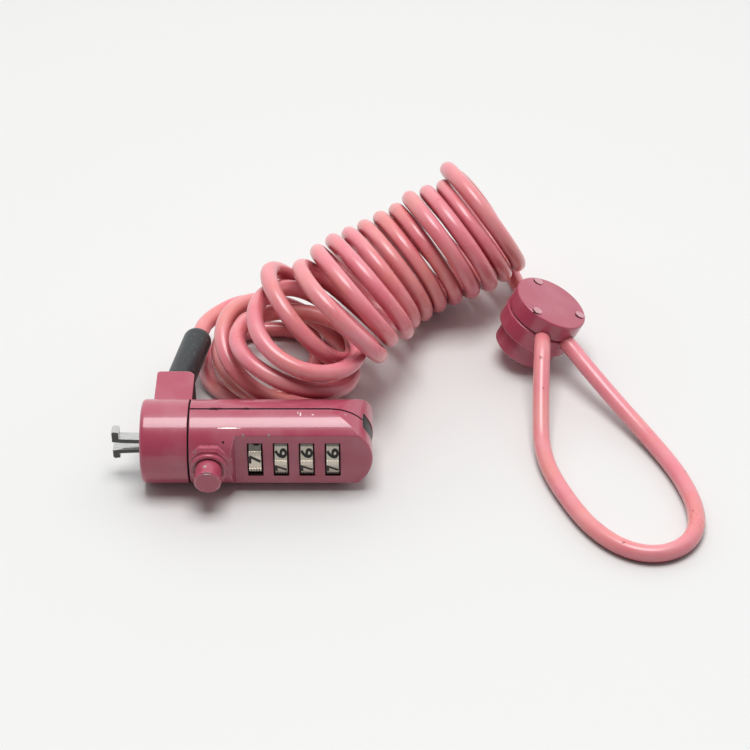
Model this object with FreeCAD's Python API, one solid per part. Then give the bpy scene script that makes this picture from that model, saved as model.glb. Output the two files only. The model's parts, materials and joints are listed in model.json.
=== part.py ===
import FreeCAD, Part
import math
import os

Vec = FreeCAD.Vector

# Laptop cable lock with four number dials, a push button, two steel jaws, a swivelling cable collar,
# a coiled cable, a riveted end cap and a cable loop. Sizes in millimetres, +Z up.
# The lock's axis lies along X. The origin is on the table, under the middle of the lock itself.

# Collar that turns on the head and carries the cable
collar_radius = 11.2
collar_length = 12.65
collar_bore = 8.6
collar_recess_radius = 9.6
collar_recess_depth = 1.5
collar_edge_round = 1.1
seam_gap = 0.2
seam_round = 0.35
swivel_clearance = 0.06

# Square ear on the collar
ear_width = 10.3
ear_height = 10.0
ear_reach = 23.5
ear_left_round = 1.0
ear_right_round = 2.5
boot_offset = 0.25

# Cable and its exit
cable_diameter = 4.6
boot_diameter = 8.0
boot_seat_depth = 6.5
boot_reach = 23.0
boot_tip_round = 2.6
boot_lean = 11.0
boot_clearance = 0.1
cable_clearance = 0.1
ferrule_diameter = 6.4
ferrule_length = 5.0
ferrule_end = 1.0

# Housing
housing_radius = 11.1
housing_wall = 1.7
end_length = 7.15
end_step = 0.1
flat_wall = 1.2
flat_start = 9.6
flat_runout = 2.6
flat_slope = 7.5
flat_edge = 0.6
head_wall = 1.2
split_gap = 0.2
split_edge = 0.25
partition = 2.1

# Head sleeve, ring and jaw carrier
sleeve_wall = 1.1
flange_radius = 9.3
flange_thickness = 1.3
ring_thickness = 1.0
ring_chamfer = 0.25
fit_clearance = 0.04
end_clearance = 0.15
sleeve_inset = 0.3
carrier_inset = 0.2
carrier_length = 10.8
carrier_lip = 1.6
mouth_room = 0.5
well_room = 0.4

# Jaws
jaw_reach = 8.1
jaw_depth = 2.9
jaw_thickness = 1.4
jaw_offset = -0.6
jaw_root_gap = 0.85
jaw_tip_gap = 1.1
jaw_nose = 2.6
jaw_nose_drop = 0.25
hook_chamfer = 0.5
upper_hook_height = 4.9
lower_hook_height = 4.2
hook_thickness = 1.95
pivot_x = -5.5
pivot_height = 2.35
pivot_radius = 1.9
pin_radius = 0.8
tail_gap = 1.3
tail_half = 0.9
tail_overlap = 1.85
running_clearance = 0.06
side_clearance = 0.12

# Push button and its boss
button_x = 5.35
button_diameter = 7.1
button_proud = 5.9
button_travel = 2.5
button_step = 1.05
button_flange = 1.2
button_clearance = 0.1
button_chamfer = 0.35
boss_margin = 2.65
boss_inset = 0.2
boss_round = 1.2
boss_chamfer = 0.7
ring_margin = 1.4
ring_proud = 0.9
ring_round = 0.6
recess_margin = 0.55
recess_depth = 0.5
blade_width = 2.8
blade_thin = 1.15
blade_thick = 1.9
disc_radius = 2.7
disc_thickness = 0.8
disc_reach = 4.0
spring_radius = 2.1
spring_wire = 0.5
spring_turns = 5
spring_room = 0.25

# Dials
dial_count = 4
dial_pitch = 6.8
first_dial = 17.4
dial_turns = (0, 18, 18, 18)
dial_faces = 10
dial_width = 3.6
dial_face_radius = 8.45
dial_ridge_height = 0.5
dial_ridge_width = 1.3
ridge_root = 0.6
ridge_grooves = 4
ridge_groove_width = 0.25
ridge_groove_depth = 0.3
dial_proud = 1.35
dial_clearance = 0.15
dial_room = 0.45
dial_hub_radius = 5.3
dial_hub_width = 6.5
dial_bore = 4.1
window_width = 3.9
window_height = 11.0
window_round = 0.5
spindle_radius = 2.0
spindle_hole_depth = 3.0
gate_floor = 0.8
key_clearance = 0.05
sleeve_gate_width = 1.4
key_width = 1.2
key_height = 0.7

# Leaf spring behind the dials
leaf_thickness = 0.4
leaf_height = 5.0
finger_width = 0.8
finger_height = 1.6
leaf_inset = 0.15
leaf_room = 0.02

# Rivets that join the shells
rivet_radius = 0.8
rivet_head_radius = 1.5
rivet_head = 0.8
rivet_height = 6.4
rivet_reach = 5.0
rivet_from_cavity = 1.7
rivet_sink = 0.1

# Black insert in the end
insert_width = 6.2
insert_height = 14.4
insert_depth = 3.4
insert_inset = 0.25
insert_round = 0.8

# End cap: a leaning stack of three tiers, with its place from the seam and the table
cap_top = Vec(98.75, 50.6, 19.5)
cap_lean = 25.7
cap_lean_turn = 3.7
cap_radius = 10.8
cap_disc = 5.2
cap_ring = 5.5
cap_base_radius = 8.8
cap_base_height = 6.35
cap_groove = 0.5
cap_groove_depth = 0.7
cap_edge = 0.5
cap_rivet_radius = 1.0
cap_rivet_head_radius = 1.35
cap_rivet_proud = 0.25
cap_rivet_circle = 8.9
cap_rivet_depth = 3.0
cap_rivet_angles = (111.0, 231.0, 351.0)
cable_seat_depth = 4.0
coil_hole_angle = 68.5
loop_hole_angles = (262.0, 308.0)

# Coil: for each turn, counted from the cap, the centre of the turn (x and y from the seam, z above
# the table), the lean of its axis (x and y parts) and the radius of the cable's centre line
coil_turns = (
    (0.5, 81.5, 85.7, 26.8, 0.70, 0.37, 17.3),
    (1, 81.2, 84.5, 25.7, 0.78, 0.34, 16.7),
    (2, 77.8, 80.8, 22.9, 0.77, 0.36, 15.2),
    (3, 73.0, 77.6, 22.9, 0.78, 0.39, 16.4),
    (4, 68.1, 75.6, 21.7, 0.78, 0.40, 16.3),
    (5, 63.7, 76.1, 17.9, 0.78, 0.43, 15.3),
    (6, 58.9, 74.6, 16.5, 0.78, 0.43, 15.3),
    (7, 54.6, 71.0, 15.9, 0.77, 0.45, 15.4),
    (8, 50.3, 64.3, 18.4, 0.76, 0.46, 15.3),
    (9, 47.4, 53.0, 23.2, 0.73, 0.46, 16.6),
    (10, 42.8, 44.0, 26.9, 0.72, 0.42, 15.4),
    (11, 39.9, 33.2, 29.5, 0.66, 0.36, 16.8),
    (12, 30.4, 35.4, 26.1, 0.69, 0.24, 16.7),
    (13, 30.6, 24.5, 28.8, 0.26, -0.09, 14.7),
    (14, 26.8, 26.8, 19.8, 0.31, 0.15, 17.3),
    (15, 24.0, 34.0, 16.4, 0.35, -0.25, 18.4),
    (16, 22.8, 41.2, 5.6, 0.14, 0.00, 18.2),
    (17, 16.9, 44.5, 3.0, -0.05, 0.00, 16.7),
    (17.75, 15.5, 48.6, 11.1, 0.00, -0.19, 15.8),
)
coil_start = 17.5
coil_end = 0.683
coil_facing = 38.5
coil_lead = (
    ((74.32, 104.59, 25.57), (0.342, 0.541, -0.768)),
    ((89.1, 89.04, 5.28), (0.123, -0.945, -0.303)),
)

# Loop: where the cable goes from the cap's left hole to its right one, x and y from the seam
loop_route = (
    (94.95, 30.0, 12.4),
    (94.55, 23.0, 9.0),
    (94.25, 15.8, 5.8),
    (94.05, 8.0, 3.0),
    (95.75, -3.0, 2.3),
    (101.75, -18.2, 2.3),
    (106.15, -25.6, 2.3),
    (111.25, -31.1, 2.3),
    (117.15, -34.2, 2.3),
    (123.55, -34.2, 2.3),
    (128.95, -31.0, 2.3),
    (132.25, -25.6, 2.3),
    (133.15, -19.2, 2.3),
    (132.35, -11.5, 2.3),
    (129.35, -1.0, 2.3),
    (123.05, 12.0, 2.8),
    (114.75, 24.5, 5.8),
    (107.35, 34.8, 9.6),
)
loop_exit = 2.5
arc_share = 0.45


def rodX(radius, x0, x1, y=0, z=0):
    return Part.makeCylinder(radius, x1 - x0, Vec(x0, y, z), Vec(1, 0, 0))


def rodY(radius, y0, y1, x=0, z=0):
    return Part.makeCylinder(radius, y1 - y0, Vec(x, y0, z), Vec(0, 1, 0))


def block(x0, x1, y0, y1, z0, z1):
    return Part.makeBox(x1 - x0, y1 - y0, z1 - z0, Vec(x0, y0, z0))


def plateY(points, y0, y1):
    corners = [Vec(x, y0, z) for x, z in points]
    face = Part.Face(Part.makePolygon(corners + corners[:1]))
    return face.extrude(Vec(0, y1 - y0, 0))


def plateX(points, x0, x1):
    corners = [Vec(x0, y, z) for y, z in points]
    face = Part.Face(Part.makePolygon(corners + corners[:1]))
    return face.extrude(Vec(x1 - x0, 0, 0))


def ringPoints(count, radius, turn=0.0):
    return [(radius * math.cos(math.radians(turn + 360.0 * i / count)),
             radius * math.sin(math.radians(turn + 360.0 * i / count))) for i in range(count)]


def edgesWhere(shape, test):
    return [edge for edge in shape.Edges if test(edge)]


def near(a, b):
    return abs(a - b) < 0.01


# Values that follow from the sizes above
collar_right = -seam_gap / 2
collar_left = collar_right - collar_length
jaw_tip = collar_left - jaw_reach
housing_left = seam_gap / 2
sleeve_radius = collar_bore - swivel_clearance
sleeve_bore = sleeve_radius - sleeve_wall
sleeve_left = collar_left + sleeve_inset
flange_left = housing_left + head_wall + fit_clearance
chamber_radius = housing_radius - housing_wall
cavity_left = first_dial - dial_hub_width / 2 - end_clearance
cavity_right = first_dial + (dial_count - 1) * dial_pitch + dial_hub_width / 2 + end_clearance
chamber_right = cavity_left - partition
housing_right = cavity_right + end_length
dial_ridge_radius = dial_face_radius + dial_ridge_height
dial_cavity = dial_ridge_radius + dial_room
flat_depth = dial_ridge_radius - dial_proud
flat_inside = flat_wall - flat_depth
leaf_front = dial_cavity - leaf_inset
button_radius = button_diameter / 2
button_flange_radius = button_radius + button_step
button_reach = housing_radius + button_proud
button_seat = chamber_radius
boss_reach = housing_radius - boss_inset
boss_ring_reach = housing_radius + ring_proud
tail_end = button_x + tail_overlap
cable_radius = cable_diameter / 2
boot_radius = boot_diameter / 2
dial_places = [first_dial + i * dial_pitch for i in range(dial_count)]
lock_middle_x = (jaw_tip + housing_right) / 2
lock_middle_y = (ear_reach - button_reach) / 2
axis_height = max(collar_radius, housing_radius)
lock_place = Vec(-lock_middle_x, -lock_middle_y, axis_height)
cable_place = Vec(-lock_middle_x, -lock_middle_y, 0)
cable_hole_height = -cap_disc - cap_groove


def bootFrame():
    lean = math.radians(boot_lean)
    direction = Vec(math.sin(lean), math.cos(lean), 0)
    exit_point = Vec(collar_right - ear_width / 2 + boot_offset, ear_reach, 0)
    return exit_point, direction


def swivelCollar():
    ring = rodX(collar_radius, collar_left, collar_right)
    ring = ring.makeFillet(collar_edge_round, edgesWhere(ring, lambda e: near(e.BoundBox.XMax, collar_left)))
    ring = ring.makeFillet(seam_round, edgesWhere(ring, lambda e: near(e.BoundBox.XMin, collar_right)))
    ear = block(collar_right - ear_width, collar_right, 0, ear_reach, -ear_height / 2, ear_height / 2)
    backs = edgesWhere(ear, lambda e: e.BoundBox.ZLength > ear_height - 0.01 and e.BoundBox.YMin > ear_reach - 0.01)
    ear = ear.makeFillet(ear_left_round, [e for e in backs if e.BoundBox.XMin < collar_right - ear_width + 0.01])
    backs = edgesWhere(ear, lambda e: e.BoundBox.ZLength > ear_height - 0.01 and e.BoundBox.YMin > ear_reach - 0.01
                       and e.BoundBox.XMax > collar_right - 0.01)
    ear = ear.makeFillet(ear_right_round, backs)
    solid = ring.fuse(ear)
    solid = solid.cut(rodX(collar_bore, collar_left - 1, collar_right + 1))
    solid = solid.cut(rodX(collar_recess_radius, collar_left - 1, collar_left + collar_recess_depth))
    exit_point, direction = bootFrame()
    seat = exit_point - direction * boot_seat_depth
    solid = solid.cut(Part.makeCylinder(boot_radius + boot_clearance, boot_seat_depth + 3, seat, direction))
    well = ferrule_length + 2 * boot_clearance
    solid = solid.cut(Part.makeCylinder(ferrule_diameter / 2 + boot_clearance, well + 1,
                                        seat - direction * well, direction))
    return solid


def cableBoot():
    exit_point, direction = bootFrame()
    seat = exit_point - direction * (boot_seat_depth - boot_clearance)
    length = boot_seat_depth - boot_clearance + boot_reach
    body = Part.makeCylinder(boot_radius, length, seat, direction)
    tip = seat + direction * length
    ends = edgesWhere(body, lambda e: e.Closed and e.BoundBox.Center.distanceToPoint(tip) < 0.5)
    body = body.makeFillet(boot_tip_round, ends[:1])
    return body.cut(Part.makeCylinder(cable_radius + cable_clearance, length + 2, seat - direction, direction))


def cableFerrule():
    exit_point, direction = bootFrame()
    start = exit_point - direction * (boot_seat_depth + ferrule_length + boot_clearance)
    body = Part.makeCylinder(ferrule_diameter / 2, ferrule_length, start, direction)
    return body.cut(Part.makeCylinder(cable_radius + cable_clearance, ferrule_length,
                                      start + direction * ferrule_end, direction))


def headSleeve():
    tube = rodX(sleeve_radius, sleeve_left, flange_left + flange_thickness)
    flange = rodX(flange_radius, flange_left, flange_left + flange_thickness)
    solid = tube.fuse(flange)
    solid = solid.cut(rodX(sleeve_bore, sleeve_left - 1, flange_left + flange_thickness + 1))
    for z in pinHeights():
        solid = solid.cut(rodY(pin_radius + fit_clearance, -sleeve_radius - 1, sleeve_radius + 1, pivot_x, z))
    shaft_end = -button_seat + button_travel + 2 * button_clearance
    return solid.cut(rodY(button_radius + button_clearance, -flange_radius - 1, shaft_end, button_x, 0))


def collarRing():
    left = sleeve_left + button_clearance
    outer = collar_recess_radius - end_clearance
    ring = rodX(outer, left, left + ring_thickness)
    ring = ring.makeChamfer(ring_chamfer, edgesWhere(ring, lambda e: near(e.BoundBox.XMax, left)))
    return ring.cut(rodX(sleeve_radius + fit_clearance / 2, left - 1, left + ring_thickness + 1))


def pinHeights():
    return (jaw_offset + pivot_height, jaw_offset - pivot_height)


def jawCarrier():
    left = sleeve_left + carrier_inset
    right = left + carrier_length
    plug = rodX(sleeve_bore - fit_clearance, left, right)
    half = jaw_depth / 2 + side_clearance
    mouth = jaw_root_gap + jaw_thickness + mouth_room
    well = pivot_height + pivot_radius + well_room
    plug = plug.cut(block(left - 1, left + 2, -half, half, jaw_offset - mouth, jaw_offset + mouth))
    plug = plug.cut(block(left + carrier_lip, right + 1, -half, half, jaw_offset - well, jaw_offset + well))
    for z in pinHeights():
        plug = plug.cut(rodY(pin_radius + fit_clearance, -sleeve_radius, sleeve_radius, pivot_x, z))
    return plug


def jawPins():
    pins = []
    for z in pinHeights():
        half = math.sqrt(sleeve_radius ** 2 - (abs(z) + pin_radius) ** 2) - end_clearance
        pins.append(rodY(pin_radius, -half, half, pivot_x, z))
    return Part.makeCompound(pins)


def jaw(side, hook_height):
    root = jaw_root_gap
    tip = jaw_tip_gap
    slope = (tip - root) / (collar_left - jaw_tip)
    hook_right = jaw_tip + hook_thickness
    outline = [
        (pivot_x, root),
        (collar_left, root),
        (jaw_tip + jaw_nose, root + slope * (jaw_reach - jaw_nose)),
        (jaw_tip, tip + jaw_nose_drop),
        (jaw_tip, hook_height - hook_chamfer),
        (jaw_tip + hook_chamfer, hook_height),
        (hook_right, hook_height - hook_chamfer / 2),
        (hook_right, tip + jaw_thickness),
        (collar_left, root + jaw_thickness),
        (pivot_x, root + jaw_thickness),
    ]
    tail = [
        (pivot_x, pivot_height - tail_half),
        (button_x - blade_width / 2 - tail_half, tail_gap),
        (tail_end, tail_gap),
        (tail_end, tail_gap + jaw_thickness),
        (pivot_x, pivot_height + tail_half),
    ]
    half = jaw_depth / 2
    solid = plateY(outline, -half, half)
    solid = solid.fuse(rodY(pivot_radius, -half, half, pivot_x, pivot_height))
    solid = solid.fuse(plateY(tail, -half, half))
    solid = solid.cut(rodY(pin_radius + running_clearance, -half - 1, half + 1, pivot_x, pivot_height))
    keep_clear = block(pivot_x - pivot_radius - 1, tail_end + 1, -half - 1, half + 1, -3, 0.3)
    solid = solid.cut(keep_clear).removeSplitter()
    if side < 0:
        solid = solid.mirror(Vec(0, 0, 0), Vec(0, 0, 1))
    solid.translate(Vec(0, 0, jaw_offset))
    return solid


def housingBody(inset=0.0):
    right = housing_right - inset
    reach = housing_radius + 1
    end_radius = housing_radius - end_step
    middle = right - end_radius
    outline = block(housing_left - 1, middle, -reach, reach, -reach, reach)
    outline = outline.fuse(rodY(end_radius, -reach, reach, middle, 0))
    body = rodX(housing_radius, housing_left, right)
    body = body.makeFillet(seam_round, edgesWhere(body, lambda e: near(e.BoundBox.XMax, housing_left)))
    return body.common(outline)


def boss():
    # Eight-sided boss with a round rim, cut off level with the seam.
    across = button_radius + boss_margin
    points = [(button_x + px, pz) for px, pz in ringPoints(8, across / math.cos(math.pi / 8), 22.5)]
    prism = plateY(points, -boss_reach, -chamber_radius + housing_wall)
    prism = prism.makeFillet(boss_round, edgesWhere(prism, lambda e: e.BoundBox.YLength > housing_wall))
    prism = prism.makeChamfer(boss_chamfer, edgesWhere(prism, lambda e: near(e.BoundBox.YMax, -boss_reach)))
    ring = rodY(button_radius + ring_margin, -boss_ring_reach, 1 - boss_reach, button_x, 0)
    ring = ring.makeFillet(ring_round, edgesWhere(ring, lambda e: near(e.BoundBox.YMax, -boss_ring_reach)))
    reach = boss_ring_reach + 1
    return prism.fuse(ring).cut(block(-reach, housing_left, -reach, 0, -reach, reach))


def housingCavity():
    head_hole = rodX(sleeve_radius + fit_clearance, housing_left - 1, flange_left)
    plain = rodX(chamber_radius, flange_left - fit_clearance, chamber_right)
    reach = housing_radius
    slab = block(flat_start - flat_wall, chamber_right + 1, -reach, flat_inside, -reach, reach)
    plain = plain.cut(slab)
    dials = rodX(dial_cavity, cavity_left, cavity_right)
    dials = dials.cut(block(cavity_left - 1, cavity_right + 1, -reach, flat_inside, -reach, reach))
    spindle = rodX(spindle_radius + fit_clearance, chamber_right - 1, cavity_right + spindle_hole_depth)
    return [head_hole, plain, dials, spindle]


def insertShape(clearance=0.0):
    half = insert_width / 2 + clearance
    height = insert_height / 2 + clearance
    left = housing_right - insert_depth - clearance
    body = block(left, housing_right + 2, -half, half, -height, height)
    return body.makeFillet(insert_round, edgesWhere(body, lambda e: e.BoundBox.XLength > insert_depth))


def rivetPlaces():
    left = chamber_right + partition / 2
    right = cavity_right + rivet_from_cavity
    return [(x, z) for x in (left, right) for z in (-rivet_height, rivet_height)]


def rivetHeadFace(z):
    return math.sqrt(housing_radius ** 2 - (abs(z) + rivet_head_radius) ** 2)


def flatCut():
    # What is taken off the front: level over the dials, with a sloped run-out toward the boss.
    reach = housing_radius + 1
    end = flat_start + flat_runout
    outline = [(flat_start, -flat_depth - flat_slope), (end, -flat_depth), (housing_right + 1, -flat_depth),
               (housing_right + 1, -flat_depth - flat_slope)]
    corners = [Vec(x, y, -reach) for x, y in outline]
    return Part.Face(Part.makePolygon(corners + corners[:1])).extrude(Vec(0, 0, 2 * reach))


def splitGroove():
    # A shallow V all along the line where the two shells meet.
    depth = split_edge + split_gap / 2
    bottom = housing_radius - depth
    middle = housing_right - housing_radius + end_step
    corners = [Vec(middle, 0, bottom), Vec(middle, 2 * depth, bottom + 2 * depth),
               Vec(middle, 0, bottom + 4 * depth), Vec(middle, -2 * depth, bottom + 2 * depth)]
    face = Part.Face(Part.makePolygon(corners + corners[:1]))
    upper = face.extrude(Vec(housing_left - middle - 1, 0, 0))
    lower = upper.copy()
    lower.rotate(Vec(0, 0, 0), Vec(1, 0, 0), 180)
    bend = face.copy().revolve(Vec(middle, 0, 0), Vec(0, 1, 0), 180)
    return [upper, lower, bend]


def frontHousing():
    reach = housing_radius + 1
    solid = housingBody().cut(flatCut())
    solid = solid.makeFillet(flat_edge, edgesWhere(solid, lambda e: near(e.BoundBox.YMin, -flat_depth)
                                                   and near(e.BoundBox.YMax, -flat_depth)
                                                   and e.BoundBox.XMax > flat_start + flat_runout + 1))
    solid = solid.cut(block(-1, housing_right + 1, -split_gap / 2, reach, -reach, reach))
    for groove in splitGroove():
        solid = solid.cut(groove)
    solid = solid.fuse(boss())
    for hollow in housingCavity():
        solid = solid.cut(hollow)
    for x in dial_places:
        left = x - window_width / 2
        right = x + window_width / 2
        window = block(left, right, -reach, flat_inside + flat_wall, -window_height / 2, window_height / 2)
        window = window.makeFillet(window_round, edgesWhere(window, lambda e: e.BoundBox.YLength > 1))
        solid = solid.cut(window)
        solid = solid.cut(rodX(dial_ridge_radius + dial_clearance, left, right))
    solid = solid.cut(rodY(button_radius + button_clearance, -boss_ring_reach - 1, 0, button_x, 0))
    solid = solid.cut(rodY(button_radius + recess_margin, -boss_ring_reach - 1, recess_depth - boss_ring_reach,
                           button_x, 0))
    solid = solid.cut(buttonFlange(button_flange_radius + button_clearance, -button_seat, 0, flange_left))
    solid = solid.cut(insertShape(fit_clearance))
    for x, z in rivetPlaces():
        solid = solid.cut(rodY(rivet_radius + fit_clearance, -rivet_reach - rivet_sink, 1, x, z))
    return solid


def rearHousing():
    reach = housing_radius + 1
    solid = housingBody().cut(block(-1, housing_right + 1, -reach, split_gap / 2, -reach, reach))
    for groove in splitGroove():
        solid = solid.cut(groove)
    for hollow in housingCavity():
        solid = solid.cut(hollow)
    solid = solid.cut(insertShape(fit_clearance))
    solid = solid.cut(leafSlot())
    for x, z in rivetPlaces():
        face = rivetHeadFace(z)
        solid = solid.cut(rodY(rivet_radius + fit_clearance, -1, reach, x, z))
        solid = solid.cut(rodY(rivet_head_radius + fit_clearance, face - rivet_head, reach, x, z))
    return solid


def leafSlot():
    half = leaf_height / 2 + key_clearance
    return block(cavity_left + end_clearance, cavity_right - end_clearance, leaf_front - housing_wall,
                 leaf_front + leaf_thickness + leaf_room, -half, half)


def detentSpring():
    strip = block(cavity_left + 2 * end_clearance, cavity_right - 2 * end_clearance, leaf_front,
                  leaf_front + leaf_thickness, -leaf_height / 2, leaf_height / 2)
    tip = dial_hub_radius / math.cos(math.pi / dial_faces) + dial_clearance
    for x in dial_places:
        left = x + (dial_width + dial_hub_width) / 4 - finger_width / 2
        strip = strip.fuse(block(left, left + finger_width, tip, leaf_front + leaf_thickness / 2,
                                 -finger_height / 2, finger_height / 2))
    return strip.removeSplitter()


def caseRivets():
    rivets = []
    for x, z in rivetPlaces():
        face = rivetHeadFace(z)
        shank = rodY(rivet_radius, -rivet_reach, face - rivet_head / 2, x, z)
        rivets.append(shank.fuse(rodY(rivet_head_radius, face - rivet_head, face - rivet_sink, x, z)))
    return Part.makeCompound(rivets)


def endInsert():
    return insertShape().common(housingBody(insert_inset))


def buttonFlange(radius, y0, y1, left):
    # Round flange with a flat side toward the head.
    disc = rodY(radius, y0, y1, button_x, 0)
    return disc.cut(block(button_x - radius - 1, left, y0 - 1, y1 + 1, -radius - 1, radius + 1))


def releaseButton():
    flange_front = -button_seat + running_clearance
    shaft = rodY(button_radius, -button_reach, flange_front + button_flange / 2, button_x, 0)
    shaft = shaft.makeChamfer(button_chamfer, edgesWhere(shaft, lambda e: near(e.BoundBox.YMax, -button_reach)))
    flange = buttonFlange(button_flange_radius, flange_front, flange_front + button_flange,
                          flange_left + flange_thickness + button_clearance)
    half = jaw_depth / 2
    deep = -half - button_travel
    top = disc_reach - disc_thickness
    profile = [(flange_front + button_flange / 2, blade_thick), (deep, blade_thick), (-half, blade_thin),
               (top + disc_thickness / 2, blade_thin)]
    corners = [Vec(button_x - blade_width / 2, y, jaw_offset + z) for y, z in profile]
    corners += [Vec(button_x - blade_width / 2, y, jaw_offset - z) for y, z in reversed(profile)]
    blade = Part.Face(Part.makePolygon(corners + corners[:1])).extrude(Vec(blade_width, 0, 0))
    disc = rodY(disc_radius, top, disc_reach, button_x, 0)
    return shaft.fuse(flange).fuse(blade).fuse(disc).removeSplitter()


def helixTube(radius, wire, pitch, turns, start):
    steps = int(round(turns * 4))
    points = []
    for i in range(steps * 2 + 1):
        angle = i * math.pi / 4
        points.append(Vec(start.x + radius * math.cos(angle), start.y + pitch * angle / (2 * math.pi),
                          start.z + radius * math.sin(angle)))
    tangent = Vec(0, pitch / (2 * math.pi * radius), 1)
    tangent.normalize()
    edges = []
    for i in range(steps):
        edges.append(Part.Arc(points[2 * i], points[2 * i + 1], points[2 * i + 2]).toShape())
    profile = Part.Wire(Part.makeCircle(wire / 2, points[0], tangent))
    return Part.Wire(edges).makePipeShell([profile], True, False)


def buttonSpring():
    start_y = disc_reach + spring_wire / 2 + button_clearance
    end_y = chamber_radius * math.cos(math.asin(spring_radius / chamber_radius)) - spring_wire / 2 - spring_room
    pitch = (end_y - start_y) / spring_turns
    return helixTube(spring_radius, spring_wire, pitch, spring_turns, Vec(button_x, start_y, 0))


def dial(index):
    x = dial_places[index]
    half = dial_width / 2
    corner = dial_face_radius / math.cos(math.pi / dial_faces)
    body = plateX(ringPoints(dial_faces, corner, 180.0 / dial_faces), x - half, x + half)
    for i in range(dial_faces):
        ridge = block(x - half, x + half, -dial_ridge_width / 2, dial_ridge_width / 2,
                      dial_face_radius - ridge_root, dial_ridge_radius)
        ridge.rotate(Vec(x, 0, 0), Vec(1, 0, 0), 360.0 * i / dial_faces)
        body = body.fuse(ridge)
    floor = dial_ridge_radius - ridge_groove_depth
    for i in range(ridge_grooves):
        left = x - half + dial_width * (i + 1) / (ridge_grooves + 1) - ridge_groove_width / 2
        groove = rodX(dial_ridge_radius + 1, left, left + ridge_groove_width)
        body = body.cut(groove.cut(rodX(floor, left - 1, left + ridge_groove_width + 1)))
    hub_corner = dial_hub_radius / math.cos(math.pi / dial_faces)
    hub = plateX(ringPoints(dial_faces, hub_corner), x - dial_hub_width / 2, x + dial_hub_width / 2)
    body = body.fuse(hub)
    body = body.cut(rodX(dial_bore, x - dial_hub_width, x + dial_hub_width))
    half_slot = key_width / 2 + key_clearance
    slot = block(x - dial_hub_width, x + dial_hub_width, -half_slot, half_slot,
                 0, dial_bore + key_height + key_clearance)
    body = body.cut(slot).removeSplitter()
    body.rotate(Vec(x, 0, 0), Vec(1, 0, 0), dial_turns[index])
    return body


def gateSleeve(index):
    x = dial_places[index]
    half = dial_hub_width / 2 - button_clearance
    body = rodX(dial_bore - fit_clearance, x - half, x + half)
    body = body.fuse(block(x - half, x + half, -key_width / 2, key_width / 2, 0, dial_bore + key_height))
    body = body.cut(rodX(spindle_radius + running_clearance, x - half - 1, x + half + 1))
    gate = block(x - half - 1, x + half + 1, -sleeve_gate_width / 2, sleeve_gate_width / 2,
                 -dial_bore - 1, -spindle_radius - gate_floor)
    body = body.cut(gate).removeSplitter()
    body.rotate(Vec(x, 0, 0), Vec(1, 0, 0), dial_turns[index])
    return body


def dialSpindle():
    return rodX(spindle_radius, chamber_right + end_clearance, cavity_right + spindle_hole_depth - end_clearance)


def capFrame(shape):
    # The cap is drawn upright with its top at the origin, then leaned over and put in its place.
    shape.rotate(Vec(0, 0, 0), Vec(0, 1, 0), cap_lean)
    shape.rotate(Vec(0, 0, 0), Vec(0, 0, 1), cap_lean_turn)
    shape.translate(cap_top)
    return shape


def capPoint(radius, angle, z):
    turn = math.radians(angle)
    point = Vec(radius * math.cos(turn), radius * math.sin(turn), z)
    point = FreeCAD.Rotation(Vec(0, 1, 0), cap_lean).multVec(point)
    return FreeCAD.Rotation(Vec(0, 0, 1), cap_lean_turn).multVec(point) + cap_top


def cableHole(angle):
    # Half of each hole is in the top disc and half in the middle ring.
    seat = cap_radius - cable_seat_depth - cable_clearance
    turn = math.radians(angle)
    outward = Vec(math.cos(turn), math.sin(turn), 0)
    centre = outward * seat + Vec(0, 0, cable_hole_height)
    return Part.makeCylinder(cable_radius + cable_clearance, cap_radius, centre, outward)


def capTier(radius, top, height):
    tier = Part.makeCylinder(radius, height, Vec(0, 0, top - height))
    rims = edgesWhere(tier, lambda e: e.Closed)
    return tier.makeFillet(cap_edge, rims)


def capPin(angle, radius, z0, z1):
    x = cap_rivet_circle * math.cos(math.radians(angle))
    y = cap_rivet_circle * math.sin(math.radians(angle))
    return Part.makeCylinder(radius, z1 - z0, Vec(x, y, z0))


def capTopDisc():
    disc = capTier(cap_radius, 0, cap_disc)
    for angle in cap_rivet_angles:
        disc = disc.cut(capPin(angle, cap_rivet_radius + fit_clearance, -cap_disc - 1, 1))
    for angle in (coil_hole_angle,) + loop_hole_angles:
        disc = disc.cut(cableHole(angle))
    return disc


def capMiddleRing():
    top = -cap_disc
    neck = Part.makeCylinder(cap_radius - cap_groove_depth, cap_groove, Vec(0, 0, top - cap_groove))
    ring = neck.fuse(capTier(cap_radius, top - cap_groove, cap_ring))
    for angle in cap_rivet_angles:
        ring = ring.cut(capPin(angle, cap_rivet_radius + fit_clearance, top - cap_rivet_depth - 0.1, top + 1))
    for angle in (coil_hole_angle,) + loop_hole_angles:
        ring = ring.cut(cableHole(angle))
    return ring


def capBase():
    top = -cap_disc - cap_groove - cap_ring
    return capTier(cap_base_radius, top, cap_base_height)


def capRivets():
    rivets = []
    for angle in cap_rivet_angles:
        shank = capPin(angle, cap_rivet_radius, -cap_disc - cap_rivet_depth, cap_rivet_proud / 2)
        head = capPin(angle, cap_rivet_head_radius, 0, cap_rivet_proud)
        rivets.append(shank.fuse(head))
    return Part.makeCompound(rivets)


def unit(vector):
    result = Vec(vector)
    result.normalize()
    return result


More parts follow.
